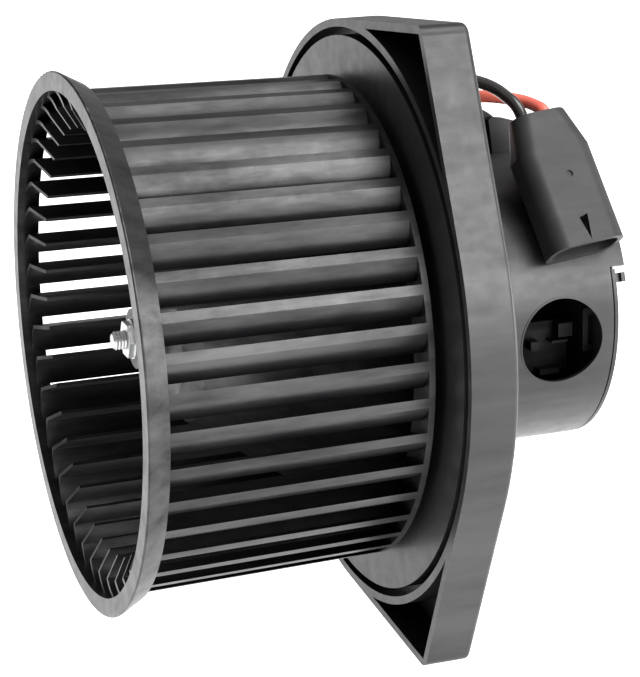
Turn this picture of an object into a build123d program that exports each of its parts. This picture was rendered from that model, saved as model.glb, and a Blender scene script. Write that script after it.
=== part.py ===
"""Blower motor with its squirrel-cage wheel, mounting flange, housing, plug and leads.

Millimetres.  The shaft lies along X: the wheel's open inlet is at -X, the motor housing at +X.
+Z is up.  The origin is the centre of the three mounting screws, on the back face of the flange,
where the screw heads bear.  Angles called "phi" are measured round the shaft from -Y towards +Z.
"""

from build123d import *

import os
from math import acos, cos, degrees, hypot, pi, radians, sin, tan

# ---------------------------------------------------------------- driving dimensions
# wheel
WHEEL_FRONT = -96.5  # open front face of the inlet ring
WHEEL_BACK = -17.0  # rear face of the back plate
RING_OUTER_R = 76.0
RING_TAIL_R = 72.4
RING_WIDTH = 6.6
BLADE_COUNT = 43
BLADE_INNER_R = 59.9
BLADE_BEND_R = 65.8
BLADE_TIP_R = 70.4
BLADE_T = 1.1
BLADE_BEND_PHI = 6.6
BLADE_TIP_PHI = 14.3
BLADE_TAPER = 0.98  # size of the rear section over the front one
PLATE_T = 1.7
PLATE_R = 69.0
HUB_WALL = 2.2

# flange
FLANGE_R = 84.5
FLANGE_DEPTH = 13.5
LOBE_R = 103.6  # sharp corner of a lobe, before it is rounded
LOBE_PHIS = (60.0, 180.0, 300.0)
LOBE_FILLET = 4.0
SKIRT_WALL = 2.2
GROOVE_IN_R = 79.8
GROOVE_OUT_R = 82.2
GROOVE_DEPTH = 6.0
WEB_T = 2.5
SCREW_CIRCLE_R = 91.0
SCREW_HOLE_R = 2.8

# motor housing
CUP_R = 42.1
CUP_WALL = 2.0
CUP_END = 48.4
COVER_RIM_T = 1.5
COVER_GAP = 0.45  # open seam at the rim
COVER_R = CUP_R - 0.1
SECTOR_END = 53.0  # the wall runs on behind the plug
SECTOR_PHIS = (23.0, 80.0)
VENT_X = 32.5
VENT_PHI = -3.9
VENT_R = 12.3
VENT_LIP = 0.4
VENT_WALL = 1.0

# motor
SHAFT_R = 3.0
SHAFT_TIP = -85.7
SHAFT_END = 44.0
THREAD_R = 2.7
THREAD_PITCH = 0.9
NUT_X = -79.5  # face of the hub boss that the nut bears on
NUT_T = 2.5
NUT_ACROSS = 9.4
CAN_R = 35.0
CAN_WALL = 1.4
CAN_FRONT = -42.0
CAN_END = 20.0
MAGNET_IN_R = 24.0
CORE_R = 23.0
CORE_X = (-30.0, 6.0)
SLOTS = 12
COMM_R = 11.0
COMM_X = (14.5, 34.0)
BEARING_R = 7.5
RUN_FIT = 0.04  # radial clearance of the shaft in its bearings

# brush gear
CARD_X = CAN_END + 0.1
CARD_T = 2.4
BRUSH = (7.0, 9.0, 13.0)
BRUSH_GAP = 0.3
HOLDER_WALL = 0.8
HOLDER_TOP = 29.8

# plug on the housing
PLUG_PHI = 33.5
PLUG_H = 55.4  # height of its face over the shaft axis
PLUG_X = 34.9
PLUG_SHOULDER = 24.4  # how far its shoulder lies up from the tangent point
PLUG_SKEW = -7.0
PLUG_W = 22.2
PLUG_T = 13.2
PLUG_NECK_T = 9.8
PLUG_LEN = 29.0
PLUG_WALL = 1.5
PLUG_NECK = (-8.8, 7.8)  # sides of the neck's end
PLUG_NECK_LEN = 11.0
PLUG_ROUND = 4.7  # long edges
TERMINAL_PITCH = 9.4

# leads
LEAD_R = 1.75
GROMMET = (8.0, 3.0, 42.5)  # middle of the block, at mid height
GROMMET_SIZE = (14.8, 8.8, 7.0)
LEAD_PITCH = 7.2
BORE_DEPTH = 2.5


def polar(r, phi):
    """Y and Z of a point at radius r and angle phi."""
    return (-r * cos(radians(phi)), r * sin(radians(phi)))


def turned(points):
    """A solid of revolution about the shaft, from (x, radius) points."""
    with BuildPart(mode=Mode.PRIVATE) as body:
        with BuildSketch(Plane.XZ):
            with BuildLine():
                Polyline(*points, close=True)
            make_face()
        revolve(axis=Axis.X)
    return body.part


def tube(x0, x1, r_out, r_in):
    """A plain tube along the shaft."""
    return turned([(x0, r_in), (x1, r_in), (x1, r_out), (x0, r_out)])


def bar(x0, x1, outline):
    """A prism along the shaft, from (y, z) points."""
    with BuildPart(mode=Mode.PRIVATE) as body:
        with BuildSketch(Plane.YZ.offset(x0)):
            with BuildLine():
                Polyline(*outline, close=True)
            make_face()
        extrude(amount=x1 - x0)
    return body.part


def arc_block(x0, x1, r_in, r_out, phi, half):
    """A length of tube wall, centred on phi and 2 * half degrees wide."""
    with BuildPart(mode=Mode.PRIVATE) as body:
        with BuildSketch(Plane.YZ.offset(x0)):
            with BuildLine():
                outer = ThreePointArc(*[polar(r_out, phi + s * half) for s in (-1, 0, 1)])
                inner = ThreePointArc(*[polar(r_in, phi + s * half) for s in (-1, 0, 1)])
                Line(outer @ 0, inner @ 0)
                Line(outer @ 1, inner @ 1)
            make_face()
        extrude(amount=x1 - x0)
    return body.part


def save(piece, name):
    """Label one finished piece and write it to its own file."""
    piece.part.label = name
    export_step(piece.part, f"parts/{name}.step")


os.makedirs("parts", exist_ok=True)

# ---------------------------------------------------------------- wheel
RING_BACK = WHEEL_FRONT + RING_WIDTH
PLATE_FRONT = WHEEL_BACK - PLATE_T

with BuildPart() as inlet_ring:
    add(
        turned(
            [
                (WHEEL_FRONT, BLADE_TIP_R),
                (WHEEL_FRONT, RING_OUTER_R),
                (RING_BACK, RING_TAIL_R),
                (RING_BACK, BLADE_TIP_R),
            ]
        )
    )
    front_edges = inlet_ring.edges().filter_by(GeomType.CIRCLE).group_by(Axis.X)[0]
    fillet(front_edges.sort_by(SortBy.RADIUS)[-1], 0.4)
save(inlet_ring, "inlet_ring")

# One blade, about local Z, hooked in section: a radial inner leg and a curved outer leaf.
BLADE_LEN = PLATE_FRONT - WHEEL_FRONT - 1.5
with BuildPart(mode=Mode.PRIVATE) as blade:
    for height, size in ((0, 1.0), (BLADE_LEN, BLADE_TAPER)):
        with BuildSketch(Plane.XY.offset(height)):
            with BuildLine():
                leg = Line(
                    polar(BLADE_INNER_R * size, BLADE_BEND_PHI + 0.3),
                    polar(BLADE_BEND_R * size, BLADE_BEND_PHI),
                )
                ThreePointArc(
                    leg @ 1,
                    polar(69.4 * size, BLADE_BEND_PHI + 4.1),
                    polar((BLADE_TIP_R + 0.8) * size, BLADE_TIP_PHI + 0.6),
                )
                offset(amount=BLADE_T * size, side=Side.LEFT, kind=Kind.INTERSECTION)
            make_face()
    loft()

FRONT_SLANT = [  # local height over the ring's face, radius
    (8.9, 55.0),
    (6.1, BLADE_INNER_R),
    (2.7, BLADE_BEND_R),
    (2.3, BLADE_TIP_R),
]
with BuildPart(mode=Mode.PRIVATE) as blade_space:
    with BuildSketch(Plane.XZ):
        with BuildLine():
            Polyline(
                *[(r, h - 1.5) for h, r in FRONT_SLANT],
                (PLATE_R, BLADE_LEN),
                (55.0, BLADE_LEN),
                close=True,
            )
        make_face()
    revolve(axis=Axis.Z)

one_blade = blade.part & blade_space.part
with BuildPart(Plane.YZ.offset(WHEEL_FRONT + 1.5)) as blade_set:
    with PolarLocations(0, BLADE_COUNT):
        add(one_blade)
save(blade_set, "blade_set")

CONE_FRONT = (-66.5, 25.0)
CONE_BACK = (PLATE_FRONT, 58.4)
COLLAR_R = 7.0
COLLAR_X = (-74.0, -66.0)
with BuildPart() as wheel_hub:
    add(
        turned(
            [
                (NUT_X, SHAFT_R + 0.05),
                (NUT_X, 8.5),
                (-75.5, 8.5),
                (-73.5, 11.0),
                (-71.0, 19.0),
                CONE_FRONT,
                CONE_BACK,
                (PLATE_FRONT, PLATE_R),
                (WHEEL_BACK, PLATE_R),
                (WHEEL_BACK, 57.0),
                (CONE_FRONT[0] + 1.0, CONE_FRONT[1] - HUB_WALL),
                (-69.6, 16.6),
                (-71.6, 9.6),
                (-64.0, 9.6),
                (-64.0, COLLAR_R + 0.05),
                (COLLAR_X[0], COLLAR_R + 0.05),
                (COLLAR_X[0], SHAFT_R + 0.05),
            ]
        )
    )
save(wheel_hub, "wheel_hub")

with BuildPart() as drive_collar:
    add(tube(COLLAR_X[0] + 0.05, COLLAR_X[1], COLLAR_R, SHAFT_R + 0.02))
    chamfer(drive_collar.edges().filter_by(GeomType.CIRCLE).group_by(Axis.X)[-1], 0.4)
save(drive_collar, "drive_collar")

with BuildPart() as wheel_nut:
    with BuildSketch(Plane.YZ.offset(NUT_X - NUT_T)):
        RegularPolygon(radius=NUT_ACROSS / 2, side_count=6, major_radius=False)
    extrude(amount=NUT_T - 0.8)
    with BuildSketch(Plane.YZ.offset(NUT_X - 0.8)):
        Circle(NUT_ACROSS / 2 + 0.9)
    extrude(amount=0.75)
    with BuildSketch(Plane.YZ.offset(NUT_X - NUT_T)):
        Circle(THREAD_R + 0.02)
    extrude(amount=NUT_T, mode=Mode.SUBTRACT)
save(wheel_nut, "wheel_nut")

# ---------------------------------------------------------------- shaft and armature
thread_points = []
for turn in range(12):
    start = SHAFT_TIP + 0.8 + turn * THREAD_PITCH
    thread_points += [(start, THREAD_R), (start + THREAD_PITCH / 2, THREAD_R - 0.35)]

with BuildPart() as shaft:
    add(
        turned(
            [(SHAFT_TIP, 0), (SHAFT_TIP, THREAD_R - 0.7)]
            + thread_points
            + [
                (-74.5, THREAD_R),
                (-74.0, SHAFT_R),
                (SHAFT_END - 0.6, SHAFT_R),
                (SHAFT_END, SHAFT_R - 0.6),
                (SHAFT_END, 0),
            ]
        )
    )
save(shaft, "shaft")

SLOT_TOP_R = 20.6
SLOT_FOOT_R = 12.0
SLOT_W = 4.4
with BuildPart() as armature_core:
    with BuildSketch(Plane.YZ.offset(CORE_X[0])):
        Circle(CORE_R)
        Circle(SHAFT_R + 0.02, mode=Mode.SUBTRACT)
        with PolarLocations((SLOT_TOP_R + SLOT_FOOT_R) / 2, SLOTS):
            Rectangle(SLOT_TOP_R - SLOT_FOOT_R, SLOT_W, mode=Mode.SUBTRACT)
        with PolarLocations(CORE_R - 1, SLOTS):
            Rectangle(4, 1.6, mode=Mode.SUBTRACT)
    extrude(amount=CORE_X[1] - CORE_X[0])
save(armature_core, "armature_core")

WINDING_END = 8.0
with BuildPart() as armature_windings:
    with BuildSketch(Plane.YZ.offset(CORE_X[0])):
        with PolarLocations((SLOT_TOP_R + SLOT_FOOT_R) / 2, SLOTS):
            Rectangle(SLOT_TOP_R - SLOT_FOOT_R - 0.3, SLOT_W - 0.3)
    extrude(amount=CORE_X[1] - CORE_X[0])
    for face_x, way in ((CORE_X[0], -1), (CORE_X[1], 1)):
        add(
            turned(
                [
                    (face_x, 9.0),
                    (face_x, 21.0),
                    (face_x + way * (WINDING_END - 2.5), 21.0),
                    (face_x + way * WINDING_END, 18.0),
                    (face_x + way * WINDING_END, 11.0),
                    (face_x + way * (WINDING_END - 1.5), 9.0),
                ]
            )
        )
save(armature_windings, "armature_windings")

with BuildPart() as end_insulators:
    for face_x, way in ((CORE_X[0], -1), (CORE_X[1], 1)):
        ends = sorted((face_x + way * 0.05, face_x + way * (WINDING_END - 2)))
        add(tube(ends[0], ends[1], 8.8, SHAFT_R + 0.02))
save(end_insulators, "end_insulators")

with BuildPart() as commutator:
    add(tube(COMM_X[0], COMM_X[1], COMM_R, SHAFT_R + 0.02))
    with BuildSketch(Plane.YZ.offset(COMM_X[0] + 3)):
        with PolarLocations(COMM_R, SLOTS):
            Rectangle(1.6, 0.6)
    extrude(amount=COMM_X[1] - COMM_X[0] - 3, mode=Mode.SUBTRACT)
    add(tube(COMM_X[0], COMM_X[0] + 2, COMM_R + 1.4, COMM_R))
save(commutator, "commutator")

with BuildPart() as thrust_washers:
    add(tube(-41.2, -40.2, 6.0, SHAFT_R + 0.02))
    add(tube(35.0, 36.0, 6.0, SHAFT_R + 0.02))
save(thrust_washers, "thrust_washers")

# ---------------------------------------------------------------- bearings and motor can
FRONT_BEARING_X = (-48.5, -42.5)
REAR_BEARING_X = (38.2, 44.6)
for name, span in (("front_bearing", FRONT_BEARING_X), ("rear_bearing", REAR_BEARING_X)):
    with BuildPart() as bearing:
        add(tube(span[0], span[1], BEARING_R, SHAFT_R + RUN_FIT))
        rims = bearing.edges().filter_by(GeomType.CIRCLE).group_by(Axis.X)
        chamfer([rims[end].sort_by(SortBy.RADIUS)[-1] for end in (0, -1)], 1.4)
    save(bearing, name)

for name, start in (("front_bearing_clip", -42.4), ("rear_bearing_clip", 37.0)):
    with BuildPart() as clip:
        add(tube(start, start + 0.8, BEARING_R + 0.05, 4.6))
    save(clip, name)

with BuildPart() as motor_can:
    add(
        turned(
            [
                (-50.0, 3.8),
                (-50.0, 9.0),
                (CAN_FRONT, 9.0),
                (CAN_FRONT, CAN_R - 3),
                (CAN_FRONT + 3, CAN_R),
                (CAN_END, CAN_R),
                (CAN_END, CAN_R - CAN_WALL),
                (CAN_FRONT + 3, CAN_R - CAN_WALL),
                (CAN_FRONT + CAN_WALL, CAN_R - 3),
                (CAN_FRONT + CAN_WALL, BEARING_R + 0.1),
                (-48.6, BEARING_R + 0.1),
                (-48.6, 3.8),
            ]
        )
    )
    with BuildSketch(Plane.YZ.offset(CAN_FRONT - 1)):
        with PolarLocations(20, 4, start_angle=45):
            SlotOverall(14, 6, rotation=90)
    extrude(amount=4, mode=Mode.SUBTRACT)
save(motor_can, "motor_can")

CAN_BORE_R = CAN_R - CAN_WALL - 0.2
for name, phi in (("magnet_upper", 90), ("magnet_lower", 270)):
    with BuildPart() as magnet:
        add(arc_block(-34.0, 10.0, MAGNET_IN_R, CAN_BORE_R, phi, 58))
    save(magnet, name)

with BuildPart() as magnet_clips:
    for phi in (0, 180):
        add(arc_block(-30.0, 6.0, CAN_BORE_R - 1.0, CAN_BORE_R, phi, 25))
save(magnet_clips, "magnet_clips")

# ---------------------------------------------------------------- brush gear
HOLDER_X = CARD_X + CARD_T + 0.1 + HOLDER_WALL + BRUSH[0] / 2 + 0.1
with BuildPart() as brush_card:
    add(tube(CARD_X, CARD_X + CARD_T, CAN_R - 0.2, 13.0))
    with BuildSketch(Plane.YZ.offset(CARD_X)):
        with PolarLocations(26, 4, start_angle=45):
            Circle(3.2)
    extrude(amount=CARD_T, mode=Mode.SUBTRACT)
save(brush_card, "brush_card")

BRUSH_FOOT = COMM_R + BRUSH_GAP
BRUSH_TOP = BRUSH_FOOT + BRUSH[2]
HOLDER_FOOT = 13.2
for side, way in (("upper", 1), ("lower", -1)):
    with BuildPart() as holder:
        with BuildSketch(Plane.XY.offset(way * HOLDER_FOOT)):
            with Locations((HOLDER_X, 0)):
                Rectangle(BRUSH[0] + 0.2 + 2 * HOLDER_WALL, BRUSH[1] + 0.2 + 2 * HOLDER_WALL)
        extrude(amount=way * (HOLDER_TOP - HOLDER_FOOT))
        with BuildSketch(Plane.XY.offset(way * HOLDER_FOOT)):
            with Locations((HOLDER_X, 0)):
                Rectangle(BRUSH[0] + 0.2, BRUSH[1] + 0.2)
        extrude(amount=way * (HOLDER_TOP - HOLDER_FOOT - HOLDER_WALL), mode=Mode.SUBTRACT)
    save(holder, f"brush_holder_{side}")

    with BuildPart() as brush:
        with BuildSketch(Plane.XY.offset(way * (BRUSH_FOOT - 3))):
            with Locations((HOLDER_X, 0)):
                Rectangle(BRUSH[0], BRUSH[1])
        extrude(amount=way * (BRUSH[2] + 3))
        add(tube(HOLDER_X - 6, HOLDER_X + 6, BRUSH_FOOT, 0.0), mode=Mode.SUBTRACT)
    save(brush, f"brush_{side}")

    with BuildPart() as spring:
        with BuildSketch(Plane.XY.offset(way * (BRUSH_TOP + 0.1))):
            with Locations((HOLDER_X, 0)):
                Circle(3.2)
                Circle(2.2, mode=Mode.SUBTRACT)
        extrude(amount=way * (HOLDER_TOP - HOLDER_WALL - 0.1 - BRUSH_TOP - 0.1))
    save(spring, f"brush_spring_{side}")

with BuildPart() as chokes:
    for side in (-1, 1):
        with BuildSketch(Plane.XY.offset(-8)):
            with Locations((CARD_X + CARD_T + 4.2, side * 21)):
                Circle(4.0)
        extrude(amount=16)
save(chokes, "chokes")

CARD_BACK = CARD_X + CARD_T
TERMINAL_STUBS = [  # x span, z span of what stands out from the plate towards the cooling hole
    (37.0, 41.4, -5.2, -1.2),
    (35.0, 40.0, -6.7, -6.1),
    (28.5, 31.0, -8.3, -5.8),
    (31.4, 37.4, -15.8, -14.3),
]
with BuildPart() as brush_terminals:
    with Locations(((CARD_BACK + 41.4) / 2, -25.8, -8.5)):
        Box(41.4 - CARD_BACK, 0.8, 15.0)
    for x0, x1, z0, z1 in TERMINAL_STUBS:
        with Locations(((x0 + x1) / 2, -28.0, (z0 + z1) / 2)):
            Box(x1 - x0, 4.0, z1 - z0)
save(brush_terminals, "brush_terminals")

# ---------------------------------------------------------------- housing with its flange
WEB_FRONT = -FLANGE_DEPTH
CUP_BORE_R = CUP_R - CUP_WALL
CAN_HOLE_R = CAN_R + 1.2
SECTOR_MID = sum(SECTOR_PHIS) / 2
SECTOR_HALF = (SECTOR_PHIS[1] - SECTOR_PHIS[0]) / 2
PLUG_OUT = (0, *polar(1, PLUG_PHI))
SEAT = Plane(origin=(0, 0, 0), x_dir=(1, 0, 0), z_dir=PLUG_OUT)
GUSSET = [(12.0, 39.8), (33.0, 39.8), (31.5, 27.5), (17.0, 38.0)]  # up the seat, out from the shaft
STOP_TABS = [  # rear face, thickness, outline as (x, z)
    (9.2, 2.0, [(33.2, 40.0), (40.4, 40.0), (40.2, 50.6), (36.6, 51.7), (32.7, 52.3), (31.8, 51.5)]),
    (10.8, 1.6, [(29.4, 38.5), (35.0, 38.5), (35.0, 51.4), (32.8, 53.2), (30.8, 54.4), (29.4, 53.8)]),
]


def lobed_outline(shrink):
    """Flange outline: a circle with three corners drawn out along its tangents."""
    inset = FLANGE_R - shrink
    corner_r = LOBE_R * inset / FLANGE_R
    spread = degrees(acos(inset / corner_r))
    with BuildSketch(mode=Mode.PRIVATE) as outline:
        Circle(inset)
        for phi in LOBE_PHIS:
            with BuildLine():
                Polyline(
                    (0, 0),
                    polar(inset, phi - spread),
                    polar(corner_r, phi),
                    polar(inset, phi + spread),
                    close=True,
                )
            make_face()
    return outline.sketch


with BuildPart(mode=Mode.PRIVATE) as flange_moulding:
    # skirt wall with its three corners
    with BuildSketch(Plane.YZ.offset(WEB_FRONT)):
        add(lobed_outline(0))
    extrude(amount=FLANGE_DEPTH)
    uprights = flange_moulding.edges().filter_by(Axis.X)
    tips = uprights.filter_by(lambda e: hypot(e.center().Y, e.center().Z) > 95)
    fillet(tips, LOBE_FILLET)
    fillet(flange_moulding.faces().sort_by(Axis.X)[-1].outer_wire().edges(), 1.4)
    # open corner pockets outside the sealing lip
    with BuildSketch(Plane.YZ.offset(WEB_FRONT)):
        add(lobed_outline(SKIRT_WALL))
        Circle(FLANGE_R, mode=Mode.SUBTRACT)
    extrude(amount=FLANGE_DEPTH - WEB_T, mode=Mode.SUBTRACT)
    # sealing groove round the front disc, and coring rings in the back
    add(tube(WEB_FRONT, WEB_FRONT + GROOVE_DEPTH, GROOVE_OUT_R, GROOVE_IN_R), mode=Mode.SUBTRACT)
    for r_in, r_out in ((47.0, 57.5), (59.7, 70.2), (72.4, 77.6)):
        add(tube(WEB_FRONT + WEB_T, 0, r_out, r_in), mode=Mode.SUBTRACT)
    # bore for the motor, closed to the can by a thin disc
    add(tube(WEB_FRONT + WEB_T, 0, CUP_BORE_R, 0.0), mode=Mode.SUBTRACT)
    add(tube(WEB_FRONT, WEB_FRONT + WEB_T, CAN_HOLE_R, 0.0), mode=Mode.SUBTRACT)
    # screw holes in the floors of the corner pockets
    for phi in LOBE_PHIS:
        with BuildSketch(Plane.YZ.offset(-WEB_T)):
            with Locations(polar(SCREW_CIRCLE_R, phi)):
                Circle(SCREW_HOLE_R)
        extrude(amount=WEB_T, mode=Mode.SUBTRACT)

# The moulding is parted down the middle of its groove, into the outer flange and the motor plate.
inside_groove = tube(WEB_FRONT - 1, 1, (GROOVE_IN_R + GROOVE_OUT_R) / 2, 0.0)
for name, mode in (("mounting_flange", Mode.SUBTRACT), ("motor_plate", Mode.INTERSECT)):
    with BuildPart() as half:
        add(flange_moulding.part)
        add(inside_groove, mode=mode)
    save(half, name)

vent_way = (0, *polar(1, VENT_PHI))
VENT = Plane(origin=(VENT_X, 0, 0), x_dir=(1, 0, 0), z_dir=vent_way).offset(30)
with BuildPart(mode=Mode.PRIVATE) as vent_boss:
    with BuildSketch(VENT):
        Circle(VENT_R + VENT_LIP)
    extrude(amount=20)
    add(tube(0, CUP_END, CUP_R + VENT_LIP / 2, CUP_R - 0.5), mode=Mode.INTERSECT)
with BuildPart(mode=Mode.PRIVATE) as vent_relief:
    with BuildSketch(VENT):
        Circle(VENT_R + 1.5)
    extrude(amount=20)
    add(tube(0, CUP_END, CUP_R - VENT_WALL, CUP_BORE_R - 1), mode=Mode.INTERSECT)

with BuildPart() as motor_housing:
    # motor cup, with its wall carried on behind the plug
    add(tube(0, CUP_END, CUP_R, CUP_BORE_R))
    add(arc_block(CUP_END - 1, SECTOR_END, CUP_BORE_R, CUP_R, SECTOR_MID, SECTOR_HALF))
    # seat for the plug: a plate level with its back, on two gussets
    for x0, x1 in ((34.0, 36.5), (41.0, 43.5)):
        gusset = [SEAT.from_local_coords((x0, up, out)) for up, out in GUSSET]
        add(bar(x0, x1, [(corner.Y, corner.Z) for corner in gusset]))
    with BuildSketch(SEAT.offset(39.7)):
        with Locations((38.75, 21.0)):
            Rectangle(9.5, 24.0)
    extrude(amount=2.4)
    # a stop tab and a lug behind it, standing on top of the cup
    for back, thickness, outline in STOP_TABS:
        with BuildSketch(Plane.XZ.offset(-back)):
            with BuildLine():
                Polyline(*outline, close=True)
            make_face()
        extrude(amount=thickness)
    add(tube(0, CUP_END, CUP_BORE_R, 0.0), mode=Mode.SUBTRACT)
    # round cooling hole in the near wall, with a raised lip and a thinner wall round it
    add(vent_boss.part)
    add(vent_relief.part, mode=Mode.SUBTRACT)
    with BuildSketch(VENT):
        Circle(VENT_R)
    extrude(amount=20, mode=Mode.SUBTRACT)
    # way through for the leads' grommet
    with BuildSketch(Plane.XY.offset(36)):
        with Locations((GROMMET[0], GROMMET[1])):
            Rectangle(GROMMET_SIZE[0] + 0.2, GROMMET_SIZE[1] + 0.2)
    extrude(amount=10, mode=Mode.SUBTRACT)
save(motor_housing, "motor_housing")

COVER_BACK = CUP_END + COVER_RIM_T
with BuildPart() as rear_cover:
    add(
        turned(
            [
                (46.0, 0),
                (46.0, SHAFT_R + 0.6),
                (REAR_BEARING_X[1] + 0.1, SHAFT_R + 0.6),
                (REAR_BEARING_X[1] + 0.1, BEARING_R + 0.1),
                (36.6, BEARING_R + 0.1),
                (36.6, BEARING_R + 2.4),
                (45.0, BEARING_R + 2.4),
                (46.0, BEARING_R + 4.0),
                (46.0, CUP_BORE_R - 0.1),
                (CUP_END + COVER_GAP, CUP_BORE_R - 0.1),
                (CUP_END + COVER_GAP, COVER_R),
                (COVER_BACK, COVER_R),
                (COVER_BACK, 13.0),
                (COVER_BACK + 2.2, 11.0),
                (COVER_BACK + 2.2, 0),
            ]
        )
    )
    # the rim stops where the housing wall runs on behind the plug
    add(
        arc_block(CUP_END - 1, COVER_BACK + 1, CUP_BORE_R - 0.3, CUP_R + 1, SECTOR_MID, SECTOR_HALF + 1),
        mode=Mode.SUBTRACT,
    )
    # snap hooks over the edge of the cup
    for phi in (18.5, 138.5, 258.5):
        add(arc_block(COVER_BACK - 0.4, COVER_BACK + 2.4, COVER_R - 1.6, COVER_R - 0.2, phi, 1.8))
        add(arc_block(COVER_BACK + 1.2, COVER_BACK + 2.4, COVER_R - 0.3, CUP_R + 0.9, phi, 1.8))
    # finger loop on the inside, beside the cooling hole
    with Locations((43.8, -33.0, -2.8)):
        Box(1.6, 1.2, 12.6)
    for height in (-8.1, 2.5):
        with Locations((45.1, -33.0, height)):
            Box(2.2, 1.2, 2.0)
    # stiffening ribs on the back
    for step in range(8):
        add(arc_block(COVER_BACK - 0.4, COVER_BACK + 1.4, 12.0, 38.0, 22.5 + 45 * step, 1.6))
save(rear_cover, "rear_cover")

with BuildPart() as isolators:
    for phi in LOBE_PHIS:
        add(arc_block(-7.0, 15.0, CAN_R + 0.05, CUP_BORE_R - 0.05, phi, 11))
save(isolators, "isolators")

# ---------------------------------------------------------------- plug
plug_origin = SEAT.from_local_coords((PLUG_X, PLUG_SHOULDER, PLUG_H))
plug_side = SEAT.x_dir * cos(radians(PLUG_SKEW)) - SEAT.y_dir * sin(radians(PLUG_SKEW))
PLUG_FACE = Plane(origin=plug_origin, x_dir=plug_side, z_dir=PLUG_OUT)
SOCKET_END = -8.0
LEAD_BORES = [side * LEAD_PITCH / 2 - 1.1 for side in (-1, 1)]


def across_plug(height, way, depth=PLUG_T / 2):
    """Plane square to the plug, at a depth behind its face, facing along it (way 1) or back (-1)."""
    middle = PLUG_FACE.from_local_coords((0, height, -depth))
    return Plane(origin=middle, x_dir=PLUG_FACE.x_dir, z_dir=PLUG_FACE.y_dir * way)


with BuildPart() as plug_housing:
    with BuildSketch(PLUG_FACE):
        with BuildLine():
            Polyline(
                (-PLUG_W / 2, 0),
                (-PLUG_W / 2, -PLUG_LEN),
                (PLUG_W / 2, -PLUG_LEN),
                (PLUG_W / 2, 0),
                (PLUG_NECK[1], PLUG_NECK_LEN),
                (PLUG_NECK[0], PLUG_NECK_LEN),
                close=True,
            )
        make_face()
    extrude(amount=-PLUG_T)
    # the back slopes in to the thinner end of the neck
    with BuildSketch(Plane(origin=PLUG_FACE.origin, x_dir=PLUG_FACE.y_dir, z_dir=PLUG_FACE.x_dir)):
        with BuildLine():
            Polyline((0, -PLUG_T), (PLUG_NECK_LEN, -PLUG_T), (PLUG_NECK_LEN, -PLUG_NECK_T), close=True)
        make_face()
    extrude(amount=PLUG_W, both=True, mode=Mode.SUBTRACT)
    wide = plug_housing.faces().filter_by(lambda f: abs(f.normal_at().dot(PLUG_FACE.z_dir)) > 0.9)
    ends = plug_housing.faces().filter_by(lambda f: abs(f.normal_at().dot(PLUG_FACE.y_dir)) > 0.99)
    side_edges = wide.edges() - ends.edges()
    side_edges = side_edges.filter_by(lambda e: abs((e % 0.5).dot(PLUG_FACE.x_dir)) < 0.9)
    fillet(side_edges, PLUG_ROUND)
    with BuildSketch(across_plug(-PLUG_LEN, 1)):
        RectangleRounded(PLUG_W - 2 * PLUG_WALL, PLUG_T - 2 * PLUG_WALL, PLUG_ROUND - 0.9)
    extrude(amount=PLUG_LEN + SOCKET_END, mode=Mode.SUBTRACT)
    with BuildSketch(across_plug(PLUG_NECK_LEN, -1, PLUG_NECK_T / 2)):
        with Locations(*[(x, 0) for x in LEAD_BORES]):
            Circle(LEAD_R + 0.05)
    extrude(amount=BORE_DEPTH, mode=Mode.SUBTRACT)
    # lock window near the mouth, and a gate mark
    with BuildSketch(PLUG_FACE):
        with BuildLine():
            Polyline((-1.6, -21.4), (1.2, -20.8), (-0.2, -28.4), close=True)
        make_face()
    extrude(amount=-PLUG_WALL - 0.5, mode=Mode.SUBTRACT)
    with BuildSketch(PLUG_FACE):
        with Locations((0.4, -8.6)):
            Circle(1.0)
    extrude(amount=-0.5, mode=Mode.SUBTRACT)
save(plug_housing, "plug_housing")

with BuildPart() as terminals:
    with BuildSketch(across_plug(SOCKET_END, -1)):
        with GridLocations(TERMINAL_PITCH, 1, 2, 1):
            Rectangle(6.3, 0.8)
    extrude(amount=16)
save(terminals, "terminals")

# ---------------------------------------------------------------- leads and their grommet
with BuildPart() as lead_grommet:
    with Locations(GROMMET):
        Box(*GROMMET_SIZE)
    grommet_top = GROMMET[2] + GROMMET_SIZE[2] / 2
    fillet(lead_grommet.edges().filter_by(Axis.Z), 1.5)
    chamfer(lead_grommet.faces().sort_by(Axis.Z)[-1].outer_wire().edges(), 0.6)
    with BuildSketch(Plane.XY.offset(grommet_top)):
        with Locations((GROMMET[0], GROMMET[1])):
            with GridLocations(LEAD_PITCH, 1, 2, 1):
                Circle(LEAD_R + 0.05)
    extrude(amount=-BORE_DEPTH, mode=Mode.SUBTRACT)
save(lead_grommet, "lead_grommet")

# Each route runs from the plug's rear bore, over the top of the motor, down into the grommet.
LEAD_DROP = 8.0  # straight run at the grommet
ROUTES = {  # which side, straight run at the plug, corners between
    "lead_black": (-1, 7.0, [(24.6, -10.2, 65.4), (14.0, -4.0, 67.6), (5.8, 1.4, 62.0)]),
    "lead_red": (1, 4.4, [(34.0, -11.6, 60.3), (24.4, -4.0, 61.2), (14.6, 1.0, 59.6)]),
}


def corner_radii(points):
    """The largest arc that each corner's two runs allow."""
    radii = []
    for before, here, after in zip(points, points[1:], points[2:]):
        run_in = here - before
        run_out = after - here
        half_turn = radians(run_in.get_angle(run_out) / 2)
        radii.append(0.45 * min(run_in.length, run_out.length) / tan(half_turn))
    return radii


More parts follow.
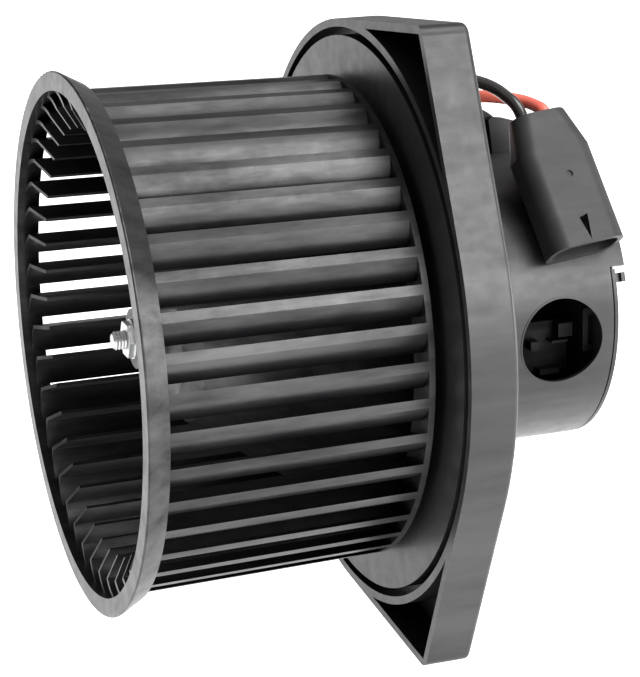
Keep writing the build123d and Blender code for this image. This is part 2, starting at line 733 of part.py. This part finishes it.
for name, (side, entry, middle) in ROUTES.items():
    bore_x = LEAD_BORES[(side + 1) // 2]
    bore_foot = PLUG_FACE.from_local_coords((bore_x, PLUG_NECK_LEN - BORE_DEPTH, -PLUG_NECK_T / 2))
    bore_exit = bore_foot + PLUG_FACE.y_dir * entry
    grommet_foot = Vector(GROMMET[0] + side * LEAD_PITCH / 2, GROMMET[1], grommet_top - BORE_DEPTH)
    grommet_exit = grommet_foot + Vector(0, 0, LEAD_DROP)
    route = [bore_foot, bore_exit, *[Vector(*point) for point in middle], grommet_exit, grommet_foot]
    radii = corner_radii(route)
    with BuildPart() as lead:
        with BuildLine() as path:
            FilletPolyline(*route, radius=radii)
        with BuildSketch(Plane(origin=path.line @ 0, z_dir=path.line % 0)):
            Circle(LEAD_R)
        sweep()
    save(lead, name)
    length = path.wire().length
    print(name, "length", round(length, 1), "radii", [round(r, 1) for r in radii])
    print("  volume over section x length", round(lead.part.volume / (pi * LEAD_R**2 * length), 4))
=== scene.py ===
"""Looks for the blower motor and its wheel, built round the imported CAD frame."""

import math

import bpy
from mathutils import Matrix, Vector


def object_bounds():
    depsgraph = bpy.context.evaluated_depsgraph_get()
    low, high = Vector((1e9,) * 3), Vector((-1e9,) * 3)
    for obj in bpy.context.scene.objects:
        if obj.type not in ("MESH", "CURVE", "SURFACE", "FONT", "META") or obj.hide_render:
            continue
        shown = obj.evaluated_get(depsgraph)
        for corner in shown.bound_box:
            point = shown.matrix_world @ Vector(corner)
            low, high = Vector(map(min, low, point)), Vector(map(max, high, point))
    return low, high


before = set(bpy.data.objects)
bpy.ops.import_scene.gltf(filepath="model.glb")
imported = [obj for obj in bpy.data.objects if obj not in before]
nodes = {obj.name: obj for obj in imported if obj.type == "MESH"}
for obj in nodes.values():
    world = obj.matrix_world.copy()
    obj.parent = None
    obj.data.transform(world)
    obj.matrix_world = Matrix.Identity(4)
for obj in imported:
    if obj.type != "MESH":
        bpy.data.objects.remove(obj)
cad_box = [list(corner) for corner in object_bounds()]

# ------------------------------------------------------------------ camera
TILT = math.radians(3.3)  # the view is turned this much about the shaft
AZIMUTH = math.radians(-19.836)
ELEVATION = math.radians(19.222)
DISTANCE = 0.64438
AIM = Vector((0.072351, 0, 0))  # on the shaft, measured from the inlet
RISE = -0.006127  # how far the camera sits above its line to AIM
SHIFT_X = -0.0965  # the inlet in the CAD frame
LENS = 119.3
SENSOR = 36


def add_camera():
    back = Vector((
        math.sin(AZIMUTH) * math.cos(ELEVATION),
        -math.cos(AZIMUTH) * math.cos(ELEVATION),
        math.sin(ELEVATION),
    ))
    right = (-back).cross(Vector((0, 0, 1))).normalized()
    up = right.cross(-back)
    turn = Matrix.Rotation(TILT, 3, "X")
    place = turn @ (AIM + back * DISTANCE + up * RISE) + Vector((SHIFT_X, 0, 0))
    basis = Matrix((turn @ right, turn @ up, turn @ back)).transposed()
    data = bpy.data.cameras.new("camera")
    data.lens = LENS
    data.sensor_width = SENSOR
    camera = bpy.data.objects.new("camera", data)
    bpy.context.scene.collection.objects.link(camera)
    camera.matrix_world = Matrix.Translation(place) @ basis.to_4x4()
    bpy.context.scene.camera = camera


add_camera()

# ------------------------------------------------------------------ materials
# Noise and band scales are per metre, and bump depths are in metres.
CLOUD_SCALE = 38.0  # slow changes of colour over a moulding
RUB_SCALE = 210.0  # patches that handling has polished
GRAIN_SCALE = 2400.0
GRAIN_DEPTH = 0.00004
STREAK_SCALE = (22.0, 120.0, 120.0)  # long along the shaft, narrow across it
GLAZE_ROUGHNESS = 0.16

BRUSHED_SCALE = 320.0
BRUSHED_DEPTH = 0.00003
TARNISH_SCALE = 60.0

WIRE_SCALE = 260.0
WIRE_DEPTH = 0.0003
SHEET_SCALE = 320.0
SHEET_DEPTH = 0.0002

# The three values below set a painted shade: colour and shine are darkened in hollows,
# standing in for the shade that falls there.
HOLLOW_REACH = 0.025  # a surface with a wall nearer than this counts as in a hollow
HOLLOW_RAYS = 6
PAINTED_HOLLOW_SHADE = 0.25  # what is left of a value in the deepest hollow


class Nodes:
    """A small helper that adds nodes to one material and links them."""

    def __init__(self, name):
        self.material = bpy.data.materials.new(name)
        self.material.use_nodes = True
        self.tree = self.material.node_tree
        self.shader = self.tree.nodes["Principled BSDF"]

    def add(self, kind, inputs=None, **settings):
        node = self.tree.nodes.new(kind)
        for key, value in settings.items():
            setattr(node, key, value)
        for key, value in (inputs or {}).items():
            if isinstance(value, bpy.types.NodeSocket):
                self.tree.links.new(value, node.inputs[key])
            else:
                node.inputs[key].default_value = value
        return node

    def link(self, out, socket):
        self.tree.links.new(out, self.shader.inputs[socket])

    def set(self, socket, value):
        self.shader.inputs[socket].default_value = value

    def place(self):
        return self.add("ShaderNodeTexCoord").outputs["Object"]

    def noise(self, scale, detail=4.0, rough=0.6, vector=None):
        return self.add("ShaderNodeTexNoise", {
            "Scale": scale,
            "Detail": detail,
            "Roughness": rough,
            "Vector": vector or self.place(),
        }).outputs["Fac"]

    def spread(self, value, low, high, from_low=0.3, from_high=0.7):
        return self.add("ShaderNodeMapRange", {
            "Value": value,
            "From Min": from_low,
            "From Max": from_high,
            "To Min": low,
            "To Max": high,
        }).outputs["Result"]

    def ramp(self, value, low, high, from_low=0.3, from_high=0.7):
        node = self.add("ShaderNodeValToRGB", {"Fac": value})
        node.color_ramp.elements[0].position = from_low
        node.color_ramp.elements[0].color = (*low, 1)
        node.color_ramp.elements[1].position = from_high
        node.color_ramp.elements[1].color = (*high, 1)
        return node.outputs["Color"]

    def painted_hollow_shade(self, value):
        """Darken a value deep in a hollow, as painted shade on colour and shine."""
        open_sky = self.add(
            "ShaderNodeAmbientOcclusion", {"Distance": HOLLOW_REACH}, samples=HOLLOW_RAYS
        ).outputs["AO"]
        shade_factor = self.spread(open_sky, PAINTED_HOLLOW_SHADE, 1.0, 0.1, 0.55)
        return self.add(
            "ShaderNodeVectorMath", {0: value, 1: shade_factor}, operation="MULTIPLY"
        ).outputs["Vector"]

    def bump(self, height, strength, distance):
        node = self.add(
            "ShaderNodeBump", {"Height": height, "Strength": strength, "Distance": distance}
        )
        self.link(node.outputs["Normal"], "Normal")


def plastic(name, dark, light, rough, coat=0.0, sheen=(0.38, 0.62)):
    """Moulded plastic: fine grain, flow marks along the shaft, rubbed patches, and painted
    shade in hollows.
    """
    m = Nodes(name)
    flow = m.noise(CLOUD_SCALE, 5.0)
    fine = m.noise(GRAIN_SCALE, 2.0)
    rubs = m.noise(RUB_SCALE, 6.0, 0.7)
    stretched = m.add("ShaderNodeMapping", {"Vector": m.place(), "Scale": STREAK_SCALE})
    streaks = m.noise(1.0, 6.0, 0.65, stretched.outputs["Vector"])
    shine = m.spread(streaks, *sheen)
    # Colour and shine both take the painted shade in hollows.
    m.link(m.painted_hollow_shade(m.ramp(flow, dark, light)), "Base Color")
    m.link(m.spread(rubs, rough - 0.06, rough + 0.07), "Roughness")
    m.link(m.painted_hollow_shade(shine), "Specular IOR Level")
    m.bump(fine, 0.25, GRAIN_DEPTH)
    m.set("Coat Weight", coat)
    m.set("Coat Roughness", GLAZE_ROUGHNESS)
    return m.material


def metal(name, dark, light, rough):
    """Plated or turned metal with fine streaks and a little tarnish."""
    m = Nodes(name)
    streaks = m.noise(BRUSHED_SCALE, 8.0, 0.75)
    tarnish = m.noise(TARNISH_SCALE, 4.0)
    m.link(m.ramp(tarnish, dark, light), "Base Color")
    m.link(m.spread(streaks, rough - 0.08, rough + 0.1), "Roughness")
    m.bump(streaks, 0.2, BRUSHED_DEPTH)
    m.set("Metallic", 1.0)
    return m.material


def wound(name, dark, light):
    """Enamelled copper wire, seen as fine close bands."""
    m = Nodes(name)
    bands = m.add(
        "ShaderNodeTexWave",
        {"Scale": WIRE_SCALE, "Distortion": 2.5, "Detail": 2.0, "Vector": m.place()},
        bands_direction="DIAGONAL",
    ).outputs["Fac"]
    m.link(m.ramp(bands, dark, light), "Base Color")
    m.link(m.spread(m.noise(150.0), 0.25, 0.45), "Roughness")
    m.bump(bands, 0.6, WIRE_DEPTH)
    m.set("Metallic", 0.8)
    return m.material


def laminated(name, dark, light):
    """Stacked steel sheets, with their edges along the shaft."""
    m = Nodes(name)
    layers = m.add(
        "ShaderNodeTexWave",
        {"Scale": SHEET_SCALE, "Distortion": 0.4, "Vector": m.place()},
        bands_direction="X",
    ).outputs["Fac"]
    m.link(m.ramp(layers, dark, light, 0.2, 0.6), "Base Color")
    m.link(m.spread(m.noise(180.0), 0.3, 0.5), "Roughness")
    m.bump(layers, 0.5, SHEET_DEPTH)
    m.set("Metallic", 0.9)
    return m.material


# Each finish has its name, its darker and its lighter colour, and its roughness.
housing_black = plastic("housing_black", (0.012, 0.012, 0.013), (0.022, 0.022, 0.023), 0.36)
wheel_black = plastic(
    "wheel_black", (0.006, 0.006, 0.007), (0.014, 0.014, 0.015), 0.33, sheen=(0.18, 0.90)
)
plug_black = plastic("plug_black", (0.018, 0.018, 0.018), (0.026, 0.026, 0.026), 0.46)
rubber = plastic("rubber", (0.018, 0.018, 0.018), (0.035, 0.035, 0.036), 0.6)
card = plastic("card", (0.16, 0.09, 0.04), (0.25, 0.15, 0.07), 0.55)
nylon = plastic("nylon", (0.55, 0.51, 0.40), (0.68, 0.64, 0.52), 0.4)
ferrite = plastic("ferrite", (0.030, 0.030, 0.033), (0.06, 0.06, 0.065), 0.55)
carbon = plastic("carbon", (0.012, 0.012, 0.013), (0.03, 0.03, 0.03), 0.5)
# Near-black painted shade for the brush terminals, which sit in the shaded vent; this is
# not their own colour.
painted_shade_black = plastic(
    "painted_shade_black", (0.002, 0.002, 0.002), (0.006, 0.006, 0.006), 0.5, sheen=(0.05, 0.35)
)
black_sheath = plastic(
    "black_sheath", (0.009, 0.008, 0.007), (0.018, 0.015, 0.014), 0.24, coat=1.0
)
red_sheath = plastic(
    "red_sheath", (0.96, 0.15, 0.10), (1.00, 0.23, 0.16), 0.34, coat=0.5
)
zinc = metal("zinc", (0.74, 0.75, 0.76), (0.88, 0.88, 0.87), 0.42)
steel = metal("steel", (0.48, 0.48, 0.49), (0.62, 0.62, 0.62), 0.26)
bronze = metal("bronze", (0.38, 0.24, 0.11), (0.55, 0.36, 0.18), 0.45)
tin = metal("tin", (0.60, 0.57, 0.48), (0.75, 0.73, 0.66), 0.3)
copper_metal = metal("copper_metal", (0.55, 0.25, 0.12), (0.72, 0.36, 0.20), 0.3)
light_alloy = metal("light_alloy", (0.60, 0.60, 0.60), (0.75, 0.75, 0.75), 0.3)
windings = wound("windings", (0.25, 0.06, 0.02), (0.55, 0.20, 0.09))
lamination = laminated("lamination", (0.10, 0.10, 0.11), (0.32, 0.32, 0.33))

FINISHES = {
    housing_black: ["mounting_flange", "motor_plate", "motor_housing", "rear_cover"],
    wheel_black: ["inlet_ring", "blade_set", "wheel_hub"],
    plug_black: ["plug_housing"],
    rubber: ["isolators", "lead_grommet"],
    card: ["brush_card"],
    nylon: ["end_insulators", "thrust_washers"],
    ferrite: ["magnet_upper", "magnet_lower"],
    carbon: ["brush_upper", "brush_lower"],
    # The brush terminals are coloured near-black as painted shade.
    painted_shade_black: ["brush_terminals"],
    black_sheath: ["lead_black"],
    red_sheath: ["lead_red"],
    zinc: ["motor_can", "wheel_nut"],
    steel: ["shaft", "magnet_clips", "front_bearing_clip", "rear_bearing_clip",
            "brush_spring_upper", "brush_spring_lower"],
    bronze: ["front_bearing", "rear_bearing"],
    tin: ["terminals", "brush_holder_upper", "brush_holder_lower"],
    copper_metal: ["commutator"],
    light_alloy: ["drive_collar"],
    windings: ["armature_windings", "chokes"],
    lamination: ["armature_core"],
}
for finish, names in FINISHES.items():
    for name in names:
        nodes[name].data.materials.clear()
        nodes[name].data.materials.append(finish)

# ------------------------------------------------------------------ floor and light
WHITE = (1, 1, 1)
FLOOR_HALF = 6.0
FLOOR_GAP = 0.0005  # between the floor and the lowest point of the part
FLOOR_GLOW = 1.25  # the floor is lit from under, like a light table
WORLD = 0.40


def add_floor():
    half = FLOOR_HALF
    z = cad_box[0][2] - FLOOR_GAP
    corners = [(-half, -half, z), (half, -half, z), (half, half, z), (-half, half, z)]
    mesh = bpy.data.meshes.new("floor")
    mesh.from_pydata(corners, [], [(0, 1, 2, 3)])
    floor = bpy.data.objects.new("floor", mesh)
    bpy.context.scene.collection.objects.link(floor)
    m = Nodes("floor")
    m.link(m.ramp(m.noise(3.0), (0.86, 0.86, 0.86), (0.90, 0.90, 0.90)), "Base Color")
    m.set("Roughness", 0.9)
    m.set("Specular IOR Level", 0.1)
    m.set("Emission Color", (*WHITE, 1))
    m.set("Emission Strength", FLOOR_GLOW)
    mesh.materials.append(m.material)


def add_world():
    world = bpy.data.worlds.new("studio")
    world.use_nodes = True
    background = world.node_tree.nodes["Background"]
    background.inputs["Strength"].default_value = WORLD
    background.inputs["Color"].default_value = (*WHITE, 1)
    bpy.context.scene.world = world


def softbox(name, azimuth, elevation, width, height, radiance):
    """A soft rectangle of light, 1 m off, at the azimuth from +X towards +Y."""
    turn, rise = math.radians(azimuth), math.radians(elevation)
    place = Vector((
        math.cos(rise) * math.cos(turn),
        math.cos(rise) * math.sin(turn),
        math.sin(rise),
    ))
    data = bpy.data.lights.new(name, "AREA")
    data.shape = "RECTANGLE"
    data.size, data.size_y = width, height
    data.energy = 4 * width * height * radiance
    data.color = WHITE
    light = bpy.data.objects.new(name, data)
    bpy.context.scene.collection.objects.link(light)
    light.rotation_euler = (-place).to_track_quat("-Z", "Y").to_euler()
    light.location = place


add_floor()
add_world()
softbox("right_low", -15, 6.5, 0.40, 0.34, 9.0)
softbox("front_right", -70, 25, 0.50, 0.72, 7.0)
softbox("overhead", -25, 66, 0.55, 0.55, 3.6)
bpy.context.scene.view_settings.view_transform = "Standard"
